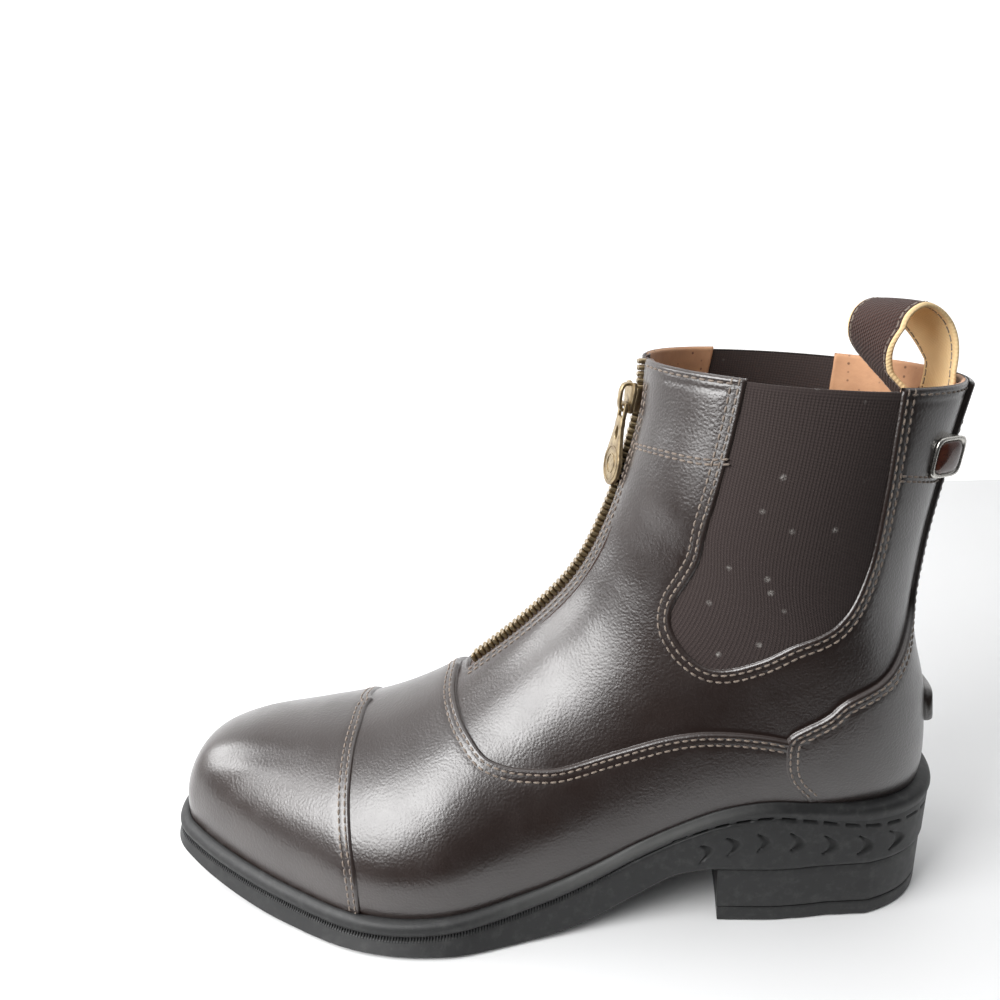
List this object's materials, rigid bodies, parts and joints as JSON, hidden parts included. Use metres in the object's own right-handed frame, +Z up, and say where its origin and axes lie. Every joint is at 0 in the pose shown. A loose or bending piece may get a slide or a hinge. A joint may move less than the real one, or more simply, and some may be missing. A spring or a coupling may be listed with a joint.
{
  "type": "paddock boot",
  "caption": "Left ankle-high leather paddock boot with zip front, toe cap, elastic side gores, rear pull loop and rubber sole with a low block heel.",
  "frame": {"origin": "centre of the heel's tread on the floor", "axes": "+X to the toe, +Y to the outer side of the foot, +Z up"},
  "size_m": [0.2813, 0.1101, 0.2007],
  "materials": {
    "leather": "smooth dark brown, half gloss",
    "elastic": "ribbed woven elastic, matt",
    "rubber": "black moulded, matt with a slight sheen",
    "lift": "black moulded, matt",
    "insole_board": "tan lining leather, matt",
    "tape": "brown woven tape",
    "brass": "antique, half matt",
    "webbing": "woven webbing, brown outside and tan inside",
    "badge_metal": "satin nickel"
  },
  "bodies": {
    "boot": {"upper": "leather", "toe_cap": "leather", "vamp": "leather", "counter": "leather", "spur_rest": "leather", "gore_outer": "elastic", "gore_inner": "elastic", "outsole": "rubber", "heel": "rubber", "heel_lift": "lift", "insole": "insole_board", "zip_tape": "tape", "zip_teeth": "brass", "zip_slider": "brass", "pull_loop": "webbing", "badge": "badge_metal"},
    "pull_tab": {"pull_tab": "brass"}
  },
  "joints": [
    {"name": "pull_tab_swing", "type": "hinge", "parent": "boot", "child": "pull_tab", "pos_m": [0.06249, 0.00076, 0.17043], "axis": [0.3057, -0.9511, 0.0452], "range_deg": [0, 120]}
  ]
}
